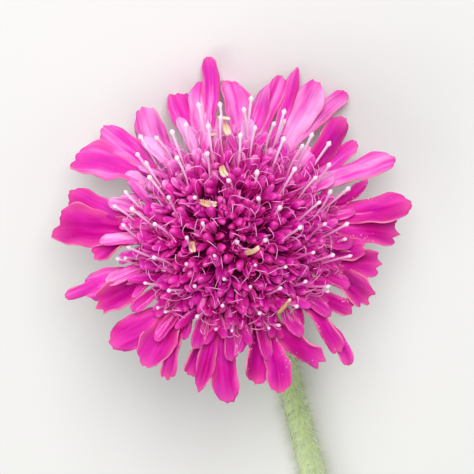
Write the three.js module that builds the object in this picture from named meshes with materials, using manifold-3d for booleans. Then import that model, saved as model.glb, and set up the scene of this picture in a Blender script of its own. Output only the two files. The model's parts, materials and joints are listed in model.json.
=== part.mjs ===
// A Macedonian scabious flower, picked with a length of its stalk and laid on a table.
// The head leans back on the lowest lobes of its rays, and its thin neck arches down to the stalk.
// Lengths are in millimetres, +Z is up, and +Y runs from the cut end of the stalk to the head.
// The origin is on the table, at the middle of the flower's footprint.

import * as THREE from "three";
import { mergeVertices } from "three/addons/utils/BufferGeometryUtils.js";
import Module from "manifold-3d";

const wasm = await Module();
wasm.setup();

// Driving dimensions of the head, in its own frame: the axis is +Z, and the rays spread near z = 0.
const DOME_RADIUS = 9.8; // the mouths of the outermost florets, from the axis
const DOME_HEIGHT = 7.0; // the mouth of the middle floret, above the rays
const RECEPTACLE_RADIUS = 4.0;
const RECEPTACLE_HEIGHT = 2.6;
const RECEPTACLE_DROP = 0.6; // how far the middle of the receptacle lies below the rays
const CUP_DEPTH = 4.8; // the foot of the involucre, below the rays

// Florets stand in a sunflower spiral, counted outwards from the middle of the dome.
const FLORETS = 82;
const RAYS = 13; // the last turn of the spiral, with long outer lobes
const SKIRT = 21; // the turn inside the rays, with lobes of middle length
const BUDS = 12; // the closed florets at the middle
const GOLDEN_ANGLE = Math.PI * (3 - Math.sqrt(5));
const FIRST_RAY = FLORETS - RAYS;
const FIRST_SKIRT = FIRST_RAY - SKIRT;
const SEED = 20120;

const RAY_LENGTH = 9.8;
const RAY_WIDTH = 3.6;
const SKIRT_LENGTH = 4.8;
const SKIRT_WIDTH = 1.8;
const TUBE_LENGTH = 3.6; // from a floret's mouth down to its point in the head
const ROOT_SPACING = 0.8; // how far a side lobe starts from the middle one
const BEND_SHARE = 0.25; // how far along a lobe it bends away from the tube
const BLADE = 0.62; // how thick petals and bracts are
const STYLE_RADIUS = 0.27;
const STIGMA_RADIUS = 0.52;
const STYLE_LENGTH = 5.8; // from the mouth of the floret to the stigma
const STYLE_RISE = 0.7; // how much the styles turn from their tubes towards the head's axis
const STYLE_SWING = [-0.15, 0.5]; // how much they turn along the head's X and Y, to the light they grew in
const SHADED_STYLE = 0.75; // how long the styles farthest from that light are, as a share of the others

// The three long lobes of each ray, in the order of the rays. shift turns the ray round the head, in
// degrees. A lobe is [bend outwards, bend sideways, length / RAY_LENGTH, width / RAY_WIDTH].
const RAY_LOBES = [
  { shift: -9, lobes: [[0.19, -0.43, 1.09, 0.53], [0.35, -0.44, 0.89, 0.86], [0.69, -0.05, 0.89, 0.86]] },
  { shift: 5, lobes: [[0.65, -0.23, 0.71, 0.47], [0.32, -0.1, 0.84, 0.61], [0.56, 0.37, 0.94, 0.86]] },
  { shift: 2, lobes: [[0.24, -0.38, 1.13, 0.81], [0.34, 0.07, 0.83, 0.5], [0.02, 0.4, 0.93, 0.75]] },
  { shift: 6, lobes: [[0.47, -0.57, 0.99, 0.78], [0.37, -0.04, 1.06, 1.28], [0.27, 0.65, 0.62, 0.69]] },
  { shift: 9, lobes: [[0.48, -0.19, 1.03, 0.42], [0.29, -0.15, 0.82, 0.44], [0.58, 0.52, 0.67, 0.56]] },
  { shift: -9, lobes: [[0.2, -0.29, 0.96, 0.61], [-0.06, -0.24, 0.81, 0.56], [0.23, 0.4, 0.89, 0.86]] },
  { shift: 8, lobes: [[0.39, -0.59, 0.9, 1.0], [0.23, 0.07, 0.79, 1.08], [0.27, 0.46, 0.83, 0.5]] },
  { shift: 6, lobes: [[0.24, -0.4, 0.98, 0.97], [0.14, -0.08, 1.12, 0.97], [-0.23, 0.48, 0.74, 0.36]] },
  { shift: -5, lobes: [[0.03, -0.83, 0.84, 1.22], [0.25, -0.01, 0.94, 0.81], [0.14, 0.65, 1.08, 1.17]] },
  { shift: 8, lobes: [[0.31, -0.46, 0.74, 0.89], [0.15, -0.18, 0.87, 0.78], [0.12, 0.8, 0.86, 0.8]] },
  { shift: -1, lobes: [[0.07, -0.31, 1.17, 0.5], [-0.04, -0.01, 1.06, 1.0], [-0.01, 0.29, 1.11, 0.44]] },
  { shift: 4, lobes: [[0.4, -0.06, 0.99, 0.36], [0.27, -0.18, 0.8, 0.92], [-0.01, 0.16, 0.73, 0.89]] },
  { shift: 9, lobes: [[0.06, -0.47, 0.8, 0.92], [0.15, 0.17, 0.78, 0.86], [-0.15, 0.37, 0.57, 0.69]] },
];

// The stalk, and how the flower lies on the table.
const LEAN = THREE.MathUtils.degToRad(40); // of the head's axis, from upright
const TURN = THREE.MathUtils.degToRad(12); // of the way it leans, from +Y towards +X
const HEAD_HEIGHT = 11.6; // the middle of the rays' plane, above the table
const STALK_RADIUS = 1.45;
const NECK_REACH = 20; // from the head's middle to where the stalk meets the table
const NECK_BEARING = THREE.MathUtils.degToRad(12.5); // from -Y towards +X
const STALK_BEARING = THREE.MathUtils.degToRad(7.5); // of the stalk where it meets the table
const STALK_REACH = 117; // from the head's middle to the cut end
const STALK_SWING = 12; // how far the cut end lies to the side
const STALK_SIDES = 10;
const STALK_FLAT = 0.12; // what the stalk's own weight flattens on the table
const CUT_SLANT = THREE.MathUtils.degToRad(35);
const GAP = 0.3; // between neighbouring pieces

const WELD = 1e-4; // vertices nearer than this are one
const FINEST = 0.08; // edges and steps smaller than this are left out of the joined solids
const UP = new THREE.Vector3(0, 0, 1);

// A repeatable draw from -1 to 1 for one floret and one of its qualities.
function vary(floret, quality) {
  const modulus = 2147483647;
  const multiplier = 16807;
  let state = (SEED + 7919 * floret + 104729 * quality) % modulus;
  for (let round = 0; round < 3; round++) state = (state * multiplier) % modulus;
  return (2 * state) / modulus - 1;
}

function smoothstep(from, to, x) {
  const t = THREE.MathUtils.clamp((x - from) / (to - from), 0, 1);
  return t * t * (3 - 2 * t);
}

// A closed geometry as a solid that can be joined and cut.
function solidOf(geometry) {
  const bare = new THREE.BufferGeometry().setAttribute("position", geometry.getAttribute("position"));
  bare.setIndex(geometry.getIndex());
  const merged = mergeVertices(bare, WELD);
  const triangles = [];
  for (let i = 0; i < merged.index.count; i += 3) {
    const [a, b, c] = merged.index.array.slice(i, i + 3);
    if (a !== b && b !== c && c !== a) triangles.push(a, b, c);
  }
  const vertProperties = merged.getAttribute("position").array;
  return new wasm.Manifold(
    new wasm.Mesh({ numProp: 3, vertProperties, triVerts: new Uint32Array(triangles) }),
  );
}

// A solid as a geometry: its largest body, with hollows that the joining sealed filled.
function geometryOf(solid) {
  const bodies = solid.simplify(FINEST).decompose().sort((a, b) => b.volume() - a.volume());
  const { vertProperties, triVerts } = bodies[0].getMesh();
  const geometry = new THREE.BufferGeometry();
  geometry.setAttribute("position", new THREE.BufferAttribute(vertProperties, 3));
  geometry.setIndex(new THREE.BufferAttribute(triVerts, 1));
  geometry.computeVertexNormals();
  return geometry;
}

function joined(geometries) {
  return geometries.map(solidOf).reduce((whole, piece) => whole.add(piece));
}

// A profile of [radius, height] pairs turned about the z axis.
function turned(profile, segments) {
  return new THREE.LatheGeometry(
    profile.map(([radius, height]) => new THREE.Vector2(radius, height)),
    segments,
  ).rotateX(Math.PI / 2);
}

// The head's frame, and the way from it to the table's frame.
const head = new THREE.Group();
head.rotation.set(-LEAN, 0, -TURN, "ZXY");
head.position.z = HEAD_HEIGHT;
head.updateMatrix();
const tableFromHead = head.matrix.clone();
const headFromTable = tableFromHead.clone().invert();

// Lifts a point of the head that would sink into the table, so that a petal's tip lies along it.
function restOnTable(point, clearance) {
  point.applyMatrix4(tableFromHead);
  point.z = Math.max(point.z, clearance);
  return point.applyMatrix4(headFromTable);
}

// A closed blade. surface(side, along) gives its middle surface, for side from -1 to 1 and along
// from 0 to 1.
// Its two faces lie half a thickness off that surface and are split into triangles alike.
function blade(surface, across, lengthwise, thickness) {
  const step = 1e-3;
  const points = [];
  for (const face of [1, -1]) {
    for (let j = 0; j <= lengthwise; j++) {
      for (let i = 0; i <= across; i++) {
        const side = (2 * i) / across - 1;
        const along = j / lengthwise;
        const ahead = surface(side, along + step).sub(surface(side, along - step));
        const sideways = surface(side + step, along).sub(surface(side - step, along));
        const normal = sideways.cross(ahead).normalize();
        points.push(surface(side, along).addScaledVector(normal, (face * thickness) / 2));
      }
    }
  }
  const row = across + 1;
  const bottom = row * (lengthwise + 1);
  const triangles = [];
  const quad = (a, b, c, d) => triangles.push(a, b, c, a, c, d);
  for (let j = 0; j < lengthwise; j++) {
    for (let i = 0; i < across; i++) {
      const a = j * row + i;
      quad(a, a + 1, a + 1 + row, a + row);
      triangles.push(bottom + a, bottom + a + 1 + row, bottom + a + 1);
      triangles.push(bottom + a, bottom + a + row, bottom + a + 1 + row);
    }
    const left = j * row;
    const right = left + across;
    quad(left + row, bottom + left + row, bottom + left, left);
    quad(right, bottom + right, bottom + right + row, right + row);
  }
  for (let i = 0; i < across; i++) {
    const tip = lengthwise * row + i;
    quad(i, bottom + i, bottom + i + 1, i + 1);
    quad(tip + 1, bottom + tip + 1, bottom + tip, tip);
  }
  const geometry = new THREE.BufferGeometry().setFromPoints(points);
  geometry.setIndex(triangles);
  return geometry;
}

// The spiral's turn from each floret to the next. The last two turns are evenly spaced round the head.
function azimuthOf(k) {
  const turn = 2 * Math.PI;
  if (k < FIRST_SKIRT) return k * GOLDEN_ANGLE;
  if (k < FIRST_RAY) return azimuthOf(FIRST_SKIRT - 1) + ((k - FIRST_SKIRT + 1) * 8 * turn) / SKIRT;
  return azimuthOf(FIRST_RAY - 1) + ((k - FIRST_RAY + 1) * 5 * turn) / RAYS;
}

function shiftOf(k) {
  return k < FIRST_RAY ? 0 : THREE.MathUtils.degToRad(RAY_LOBES[k - FIRST_RAY].shift);
}

// Where floret k of the spiral opens, which way its tube points, and how it is turned.
// out points away from the middle of the dome, and side points round it, both square to the tube.
function placeFloret(k) {
  const cosine = 1 - (k + 0.5) / FLORETS;
  const polar = Math.acos(cosine);
  const azimuth = azimuthOf(k) + shiftOf(k);
  const onDome = (radius, height) =>
    new THREE.Vector3(
      radius * Math.sin(polar) * Math.cos(azimuth),
      radius * Math.sin(polar) * Math.sin(azimuth),
      height * cosine,
    );
  const mouth = onDome(DOME_RADIUS, DOME_HEIGHT);
  const root = onDome(RECEPTACLE_RADIUS, RECEPTACLE_HEIGHT);
  root.z -= RECEPTACLE_DROP;
  const axis = mouth.clone().sub(root).normalize();
  const side = new THREE.Vector3(-Math.sin(azimuth), Math.cos(azimuth), 0);
  const out = side.clone().cross(axis);
  return { k, mouth, axis, out, side, spread: Math.sin(polar) };
}

// How wide a lobe is, as a share of its widest: narrow at the root, widest past the middle, and
// round at the tip.
function lobeOutline(along) {
  const growth = 0.3 + 0.7 * smoothstep(0.1, 0.75, along);
  const past = Math.max(0, (along - 0.74) / 0.34);
  return growth * Math.sqrt(Math.max(0, 1 - past * past));
}

// A petal lobe of a floret, the middle one or, where place is -1 or 1, the one beside it. It leaves
// the tube along the tube's axis and bends away by outward and sideways. facing turns its upper face
// towards the dome, cupping raises its two edges, and a notch sets its tip back between them.
function lobe(floret, shape) {
  const { place, outward, sideways, facing, length, width, cupping, notch, sunk } = shape;
  const tip = floret.axis.clone();
  tip.addScaledVector(floret.out, outward).addScaledVector(floret.side, sideways).normalize();
  const upper = floret.out.clone().multiplyScalar(-(outward + facing));
  upper.addScaledVector(floret.side, -sideways).normalize();
  const start = floret.mouth.clone().addScaledVector(floret.axis, -sunk);
  start.addScaledVector(floret.side, place * ROOT_SPACING);
  const bend = start.clone().addScaledVector(floret.axis, sunk + length * BEND_SHARE);
  const end = bend.clone().addScaledVector(tip, length * (1 - BEND_SHARE));
  const line = new THREE.QuadraticBezierCurve3(start, bend, end);
  const surface = (side, along) => {
    const wide = (width / 2) * lobeOutline(along);
    const edge = side * side;
    const acrossLine = line.getTangent(along).cross(upper).normalize().multiplyScalar(-side * wide);
    const point = line.getPoint(along).add(acrossLine);
    point.addScaledVector(upper, cupping * wide * (edge - 0.5) * smoothstep(0, 0.5, along));
    point.addScaledVector(tip, notch * width * (edge - 0.5) * smoothstep(0.5, 1, along));
    return restOnTable(point, BLADE / 2);
  };
  return blade(surface, shape.across, shape.lengthwise, BLADE);
}

// A geometry made upright at the origin, moved to a floret's mouth and turned to its tube.
function standing(geometry, floret) {
  const frame = new THREE.Matrix4().makeBasis(floret.out, floret.side, floret.axis);
  return geometry.applyMatrix4(frame.setPosition(floret.mouth));
}

// The style and its knobbed stigma, standing out of the floret's mouth.
function style(floret) {
  const { k } = floret;
  const segments = 3;
  const light = (1 + floret.mouth.y / DOME_RADIUS) / 2;
  const growth = SHADED_STYLE + (1 - SHADED_STYLE) * light;
  const length = STYLE_LENGTH * growth * (0.72 + 0.34 * floret.spread + 0.14 * vary(k, 1));
  const pin = turned(
    [
      [0, -0.9],
      [STYLE_RADIUS * 1.2, -0.9],
      [STYLE_RADIUS, length - 0.9],
      [STIGMA_RADIUS, length - 0.3],
      [0, length + 0.1],
    ],
    segments,
  );
  const direction = floret.axis.clone().add(new THREE.Vector3(...STYLE_SWING, STYLE_RISE));
  direction.addScaledVector(floret.out, 0.2 * vary(k, 2));
  direction.addScaledVector(floret.side, 0.2 * vary(k, 3)).normalize();
  const turn = new THREE.Quaternion().setFromUnitVectors(UP, direction);
  return pin.applyQuaternion(turn).translate(...floret.mouth);
}

// A ray floret: three long lobes fanned outwards, and a funnel whose inner edge rises as the short lobe.
function rayFloret(floret) {
  const { k } = floret;
  const fan = RAY_LOBES[k - FIRST_RAY].lobes.map(([outward, sideways, length, width], j) =>
    lobe(floret, {
      place: j - 1,
      outward,
      sideways,
      facing: 1.2,
      length: RAY_LENGTH * length,
      width: RAY_WIDTH * width,
      cupping: 0.25 + 0.25 * vary(k, 22 + j),
      notch: -0.12 + 0.3 * vary(k, 25 + j),
      sunk: 0.8,
      across: 2,
      lengthwise: 3,
    }),
  );
  const rise = (x) => 0.9 - 1.3 * x;
  return [...fan, funnel(floret, 6, 1.1, rise), style(floret)];
}

// A floret of the skirt round the dome: like a ray, but shorter and more upright.
function skirtFloret(floret) {
  const { k } = floret;
  const fan = [-0.6, 0, 0.6].map((sideways, j) => {
    const middle = sideways === 0;
    return lobe(floret, {
      place: j - 1,
      outward: (middle ? 0.55 : 0.3) + 0.15 * vary(k, 10 + j),
      sideways: sideways + 0.1 * vary(k, 13 + j),
      facing: middle ? 0.6 : 0.5,
      length: SKIRT_LENGTH * (middle ? 1 : 0.8) * (1 + 0.14 * vary(k, 16 + j)),
      width: SKIRT_WIDTH * (middle ? 1 : 0.85) * (1 + 0.12 * vary(k, 19 + j)),
      cupping: 0,
      notch: 0,
      sunk: 0.7,
      across: 1,
      lengthwise: 2,
    });
  });
  const rise = (x) => 0.9 - 1.1 * x;
  return [...fan, funnel(floret, 6, 1.05, rise), style(floret)];
}

// A floret's tube, which widens to a hollow mouth. rise gives the height of the rim over a point
// whose x is 1 on the side away from the middle of the head and -1 on the side next to it.
function funnel(floret, corners, radius, rise) {
  const cone = turned(
    [
      [0, -TUBE_LENGTH],
      [radius, 0.5],
      [0, -0.3],
    ],
    corners,
  );
  const points = cone.getAttribute("position");
  for (let i = 0; i < points.count; i++) {
    const [x, y, z] = [points.getX(i), points.getY(i), points.getZ(i)];
    if (Math.hypot(x, y) < radius * 0.9) continue;
    points.setZ(i, z + rise(x / radius, y / radius));
  }
  return standing(cone, floret);
}

// A small open floret: a funnel whose rim rises in four pointed lobes round the throat.
function smallFloret(floret) {
  const corners = 8;
  const open = smoothstep(BUDS, FIRST_SKIRT, floret.k);
  const rise = (x, y) => (0.7 + 0.5 * open) * Math.cos(4 * Math.atan2(y, x));
  return [funnel(floret, corners, 1.0 + 0.25 * open, rise), style(floret)];
}

// A closed bud: an upright oval.
function bud(floret) {
  const swelling = 0.85 + 0.1 * vary(floret.k, 5);
  const oval = new THREE.SphereGeometry(swelling, 6, 4).rotateX(Math.PI / 2);
  return standing(oval.scale(1, 1, 1.7).translate(0, 0, -0.5), floret);
}

const florets = Array.from({ length: FLORETS }, (_, k) => placeFloret(k));

// The ring of tubes that the rays stand in, round the receptacle.
const RING = { inner: RECEPTACLE_RADIUS + GAP, outer: 8.6, bottom: -0.9, top: 0.7 };

function rayRing() {
  const segments = 22;
  return turned(
    [
      [RING.inner, RING.bottom],
      [RING.outer - 1, RING.bottom],
      [RING.outer, (RING.bottom + RING.top) / 2],
      [RING.outer - 0.6, RING.top],
      [RING.inner, RING.top],
      [RING.inner, RING.bottom],
    ],
    segments,
  );
}

// The surface that parts the rays from the dome: a shallow bowl that rises outwards.
function partingBowl(offset) {
  const segments = 22;
  const floor = RING.top + offset;
  return turned(
    [
      [0, floor],
      [RING.outer, floor],
      [DOME_RADIUS + 1.5, floor + 1.3],
      [DOME_RADIUS * 3, floor + 14],
      [DOME_RADIUS * 3, floor + 40],
      [0, floor + 40],
    ],
    segments,
  );
}

// The packed tubes of the disc florets, hollow below where the receptacle stands in them.
function discCore() {
  const segments = 20;
  const rings = 4;
  const width = DOME_RADIUS - 1.9;
  const height = DOME_HEIGHT - 1.3;
  const bottom = RING.top - GAP;
  const hollow = { radius: RECEPTACLE_RADIUS + GAP, top: RECEPTACLE_HEIGHT - RECEPTACLE_DROP + GAP };
  const dome = [];
  for (let ring = 0; ring <= rings; ring++) {
    const angle = (ring / rings) * (Math.PI / 2);
    dome.push([width * Math.cos(angle), bottom + (height - bottom) * Math.sin(angle)]);
  }
  dome[rings][0] = 0;
  return turned(
    [[0, hollow.top], [hollow.radius, hollow.top], [hollow.radius, bottom], ...dome],
    segments,
  );
}

function rayFloretsSolid() {
  const petals = florets.slice(FIRST_RAY).flatMap(rayFloret);
  return joined([rayRing(), ...petals]).subtract(solidOf(partingBowl(GAP / 2)));
}

function discFloretsSolid() {
  const petals = florets.flatMap((floret) => {
    if (floret.k < BUDS) return bud(floret);
    if (floret.k < FIRST_SKIRT) return smallFloret(floret);
    return floret.k < FIRST_RAY ? skirtFloret(floret) : [];
  });
  return joined([discCore(), ...petals]).intersect(solidOf(partingBowl(GAP)));
}

// A pointed green bract under the rays, one of a whorl of count.
function bract(whorl, index, count) {
  const length = whorl === 0 ? 8.6 : 7.4;
  const width = 2.7;
  const azimuth = ((index + whorl / 2) * 2 * Math.PI) / count + 0.1 * vary(index, 40 + whorl);
  const radial = new THREE.Vector3(Math.cos(azimuth), Math.sin(azimuth), 0);
  const sideways = new THREE.Vector3(-Math.sin(azimuth), Math.cos(azimuth), 0);
  const height = whorl === 0 ? -3.0 : -2.3;
  const rise = 0.8 + 0.3 * vary(index, 42 + whorl);
  const start = radial.clone().multiplyScalar(3.2).setZ(height);
  const middle = radial.clone().multiplyScalar(3.2 + length * 0.45).setZ(height + rise * 0.9);
  const end = radial.clone().multiplyScalar(3.2 + length).setZ(height + rise);
  const line = new THREE.QuadraticBezierCurve3(start, middle, end);
  const surface = (side, along) => {
    const wide = (width / 2) * (0.75 + 0.9 * along) * (1.04 - along);
    const keel = 0.35 * wide * side * side;
    return line.getPoint(along).addScaledVector(sideways, side * wide).addScaledVector(UP, keel);
  };
  return blade(surface, 2, 3, BLADE);
}

// The green cup under the head, the receptacle that stands up in it, and the bracts round it.
function involucreSolid() {
  const segments = 16;
  const receptacleTop = RECEPTACLE_HEIGHT - RECEPTACLE_DROP;
  const cup = turned(
    [
      [0, -CUP_DEPTH],
      [STALK_RADIUS, -CUP_DEPTH],
      [STALK_RADIUS * 1.5, -4.1],
      [3.6, -2.9],
      [5.4, -2.0],
      [5.6, RING.bottom - GAP],
      [RECEPTACLE_RADIUS, RING.bottom - GAP],
      [RECEPTACLE_RADIUS, receptacleTop - 0.8],
      [RECEPTACLE_RADIUS * 0.6, receptacleTop],
      [0, receptacleTop],
    ],
    segments,
  );
  const outer = Array.from({ length: 7 }, (_, i) => bract(0, i, 7));
  const inner = Array.from({ length: 7 }, (_, i) => bract(1, i, 7));
  return joined([cup, ...outer, ...inner]);
}

// The line of the stalk: an arched neck behind the head, then a gentle swing along the table.
function stalkLine() {
  const bearing = (angle) => new THREE.Vector3(Math.sin(angle), -Math.cos(angle), 0);
  const down = UP.clone().negate().applyQuaternion(head.quaternion);
  const foot = head.position.clone().addScaledVector(down, CUP_DEPTH + GAP);
  const behind = foot.clone().addScaledVector(down, NECK_REACH * 0.35);
  const lying = new THREE.Vector3(0, 0, STALK_RADIUS - STALK_FLAT);
  const landing = lying.clone().addScaledVector(bearing(NECK_BEARING), NECK_REACH);
  const before = landing.clone().addScaledVector(bearing(STALK_BEARING), -NECK_REACH * 0.35);
  const after = landing.clone().addScaledVector(bearing(STALK_BEARING), STALK_REACH * 0.25);
  const end = lying.clone().add(new THREE.Vector3(STALK_SWING, -STALK_REACH, 0));
  const ending = end.clone().addScaledVector(bearing(-STALK_BEARING / 2), -STALK_REACH * 0.3);
  const line = new THREE.CurvePath();
  line.add(new THREE.CubicBezierCurve3(foot, behind, before, landing));
  line.add(new THREE.CubicBezierCurve3(landing, after, ending, end));
  return line;
}

// A box below a plane through the point, for cutting. tilt turns the plane about the X axis.
function halfSpace(point, size, tilt) {
  const box = new THREE.BoxGeometry(size, size, size).translate(0, 0, -size / 2);
  return solidOf(box.rotateX(tilt).translate(...point));
}

// The stalk, flat where it lies on the table and cut on the slant.
function stemSolid() {
  const section = new THREE.Shape();
  for (let corner = 0; corner < STALK_SIDES; corner++) {
    const angle = (2 * Math.PI * (corner + 0.5)) / STALK_SIDES;
    const at = [STALK_RADIUS * Math.cos(angle), STALK_RADIUS * Math.sin(angle)];
    if (corner === 0) section.moveTo(...at);
    else section.lineTo(...at);
  }
  const stalk = new THREE.ExtrudeGeometry(section, {
    steps: 40,
    bevelEnabled: false,
    extrudePath: stalkLine(),
  });
  const table = halfSpace([0, 0, 0], STALK_REACH * 3, 0);
  const slant = -Math.PI / 2 - CUT_SLANT;
  const cut = halfSpace([STALK_SWING, -STALK_REACH + STALK_RADIUS, STALK_RADIUS], 20, slant);
  return solidOf(stalk).subtract(table).subtract(cut);
}

function piece(name, solid, material) {
  const mesh = new THREE.Mesh(geometryOf(solid), new THREE.MeshStandardMaterial(material));
  mesh.name = name;
  return mesh;
}

head.add(
  piece("involucre", involucreSolid(), { color: 0x86a355, roughness: 0.75, metalness: 0 }),
  piece("ray_florets", rayFloretsSolid(), { color: 0xdf1f9c, roughness: 0.55, metalness: 0 }),
  piece("disc_florets", discFloretsSolid(), { color: 0xb51585, roughness: 0.55, metalness: 0 }),
);

const flower = new THREE.Group();
flower.add(head, piece("stem", stemSolid(), { color: 0xa3bd74, roughness: 0.8, metalness: 0 }));
const footprint = new THREE.Box3().setFromObject(flower, true).getCenter(new THREE.Vector3());
flower.position.set(-footprint.x, -footprint.y, 0);

export default flower;
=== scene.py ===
# A Macedonian scabious, picked with a length of its stalk and laid on a pale table.
# The head's own frame is in millimetres: its axis is +Z, and its rays spread near z = 0.
import json
import math
import bpy
import numpy as np
from mathutils import Matrix, Vector

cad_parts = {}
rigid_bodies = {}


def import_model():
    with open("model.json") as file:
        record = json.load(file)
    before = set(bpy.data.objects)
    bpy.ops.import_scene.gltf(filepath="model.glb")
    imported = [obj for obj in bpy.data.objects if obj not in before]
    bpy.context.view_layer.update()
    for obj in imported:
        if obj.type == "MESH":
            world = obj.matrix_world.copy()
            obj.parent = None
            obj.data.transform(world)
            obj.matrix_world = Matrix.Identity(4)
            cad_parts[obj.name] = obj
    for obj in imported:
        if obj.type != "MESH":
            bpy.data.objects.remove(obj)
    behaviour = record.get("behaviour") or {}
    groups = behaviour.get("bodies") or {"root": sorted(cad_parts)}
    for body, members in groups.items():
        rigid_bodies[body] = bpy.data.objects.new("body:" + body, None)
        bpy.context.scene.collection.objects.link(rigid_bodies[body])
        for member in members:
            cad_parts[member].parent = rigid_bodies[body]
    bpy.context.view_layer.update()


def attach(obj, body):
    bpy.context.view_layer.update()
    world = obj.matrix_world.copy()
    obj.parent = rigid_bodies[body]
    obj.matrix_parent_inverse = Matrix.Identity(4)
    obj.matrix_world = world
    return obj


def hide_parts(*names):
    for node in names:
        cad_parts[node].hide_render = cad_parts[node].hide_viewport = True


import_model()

MM = 0.001

# Sizes of the flower, in millimetres, as its solids have them
DOME_RADIUS = 9.8  # the mouths of the outermost florets, from the axis
DOME_HEIGHT = 7.0  # the mouth of the middle floret, above the rays
RECEPTACLE_RADIUS = 4.0
RECEPTACLE_HEIGHT = 2.6
RECEPTACLE_DROP = 0.6  # how far the middle of the receptacle lies below the rays
CUP_DEPTH = 4.8
GAP = 0.3  # between neighbouring pieces
FLORETS = 82
RAYS = 13  # the last turn of the spiral
SKIRT = 21  # the turn inside the rays
BUDS = 12  # the closed florets at the middle
FIRST_RAY = FLORETS - RAYS
FIRST_SKIRT = FIRST_RAY - SKIRT
GOLDEN_ANGLE = math.pi * (3 - math.sqrt(5))
SEED = 20120
RAY_LENGTH = 9.8
RAY_WIDTH = 3.6
SKIRT_LENGTH = 4.8
SKIRT_WIDTH = 1.55
TUBE_LENGTH = 3.6
ROOT_SPACING = 0.8  # how far a side lobe starts from the middle one
BEND_SHARE = 0.25  # how far along a lobe it bends away from the tube
STYLE_LENGTH = 5.8
STYLE_RISE = 0.7  # how much the styles turn towards the head's axis
STYLE_SWING = (-0.15, 0.5)  # how much they turn along the head's X and Y
SHADED_STYLE = 0.75  # how long the most shaded styles are, as a share of the others
RING_BOTTOM = -0.9
RING_TOP = 0.7
RING_OUTER = 8.6
RING_BEVEL = 0.3
BRACTS = 7  # in each whorl
BRACT_WHORLS = ((8.6, -3.0), (7.4, -2.3))  # the length and the height of the foot, by whorl
BRACT_ROOT = 3.2  # the bracts' feet, from the axis

# The three long lobes of each ray, after the ray's shift round the head in degrees. A lobe has its
# bend outwards and sideways, its shares of the length and the width, how pale it is, which holds its
# own colour and painted light and shade, and its tip.
RAY_LOBES = [
    (-9, (0.19, -0.43, 1.09, 0.53, 0.45, "round"), (0.35, -0.44, 0.89, 0.86, 0.85, "round"),
     (0.69, -0.05, 0.89, 0.86, 0.5, "blunt")),
    (5, (0.65, -0.23, 0.71, 0.47, 0.2, "blunt"), (0.32, -0.1, 0.84, 0.61, 0.15, "keen"),
     (0.56, 0.37, 0.94, 0.86, 0.5, "round")),
    (2, (0.24, -0.38, 1.13, 0.81, 0.9, "round"), (0.34, 0.07, 0.83, 0.5, 0.6, "round"),
     (0.02, 0.4, 0.93, 0.75, 0.1, "round")),
    (6, (0.47, -0.57, 0.99, 0.78, 0.6, "blunt"), (0.37, -0.04, 1.06, 1.28, 0.35, "toothed"),
     (0.27, 0.65, 0.62, 0.69, 0.4, "blunt")),
    (9, (0.48, -0.19, 1.03, 0.42, 0.6, "round"), (0.29, -0.34, 0.84, 0.5, 0.2, "toothed"),
     (0.58, 0.52, 0.67, 0.56, 0.15, "toothed")),
    (-9, (0.2, -0.29, 0.96, 0.61, 0.5, "round"), (-0.06, -0.24, 0.81, 0.56, 0.65, "keen"),
     (0.23, 0.4, 0.89, 0.86, 0.7, "round")),
    (8, (0.39, -0.59, 0.9, 1.0, 0.65, "round"), (0.23, 0.07, 0.79, 1.08, 0.4, "round"),
     (0.27, 0.46, 0.83, 0.5, 0.2, "toothed")),
    (6, (0.24, -0.4, 0.98, 0.97, 0.35, "toothed"), (0.14, -0.08, 1.12, 0.97, 0.4, "round"),
     (-0.23, 0.48, 0.74, 0.36, 0.2, "keen")),
    (-5, (0.03, -0.83, 0.84, 1.22, 1.0, "round"), (0.25, -0.01, 0.94, 0.81, 0.75, "round"),
     (0.14, 0.65, 1.08, 1.17, 0.6, "blunt")),
    (8, (0.31, -0.46, 0.74, 0.89, 0.15, "blunt"), (0.15, -0.18, 0.87, 0.78, 0.25, "round"),
     (0.12, 0.8, 0.86, 0.8, 0.15, "toothed")),
    (-1, (0.07, -0.31, 1.17, 0.5, 0.75, "round"), (-0.04, -0.01, 1.06, 1.0, 0.85, "round"),
     (-0.01, 0.29, 1.11, 0.44, 0.5, "keen")),
    (4, (0.4, -0.06, 0.99, 0.36, 0.8, "round"), (0.27, -0.18, 0.8, 0.92, 0.9, "blunt"),
     (-0.01, 0.16, 0.73, 0.89, 0.3, "toothed")),
    (9, (0.06, -0.47, 0.8, 0.92, 0.1, "toothed"), (0.15, 0.17, 0.78, 0.86, 0.05, "toothed"),
     (-0.15, 0.37, 0.57, 0.69, 0.3, "blunt")),
]

# How far a lobe bows to the side on its way to its tip, in millimetres, by ray and lobe
BOWS = {(4, 0): 1.6, (4, 1): 0.1, (3, 2): -0.7, (10, 0): 0.6, (7, 2): -0.8, (0, 0): -0.8, (9, 1): 0.7}

# The tips of the lobes: how pointed, how square and how deeply notched each kind is
TIPS = {"round": (0, 0, 0.02), "keen": (1, 0, 0.02), "blunt": (0, 0.4, 0.09), "toothed": (0, 0.65, 0.15)}

# The rays whose lobes have caught pollen, and the number of grains on each of those lobes
DUSTED = (4, 7, 9)
GRAINS = 12

# Sizes of what only this model shows, in millimetres
PETAL = 0.18  # thickness of petals and tubes
BRACT_THICK = 0.3
RAY_TUBE, SKIRT_TUBE, DISC_TUBE = 0.95, 0.85, 0.6  # radii at the mouths
SMALL_BUDS = 210
SMALL_BUD_TURN = 1.1  # how far their spiral is turned from that of the florets
SMALL_BUD_SPREAD = 0.9  # how far down the dome they grow
KNOB = 0.3  # radius of a stigma
FILAMENTED = FIRST_RAY + 8  # the florets with filaments
STALK_HAIRS = 10000
HAIR_PLACES = 400  # rings along the stalk where its hairs stand
BRACT_HAIRS = 150  # on each bract
CORE_WIDTH, CORE_HEIGHT = DOME_RADIUS - 2.2, DOME_HEIGHT - 2.1

# Rings of faces along each kind of rod
STYLE_STATIONS = 18
FILAMENT_STATIONS = 12
ANTHER_STATIONS = 10
BRISTLE_STATIONS = 6
HAIR_STATIONS = 3
STALK_STATIONS = 90
STALK_SIDES = 24
TURNED_SIDES = 32

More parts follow.
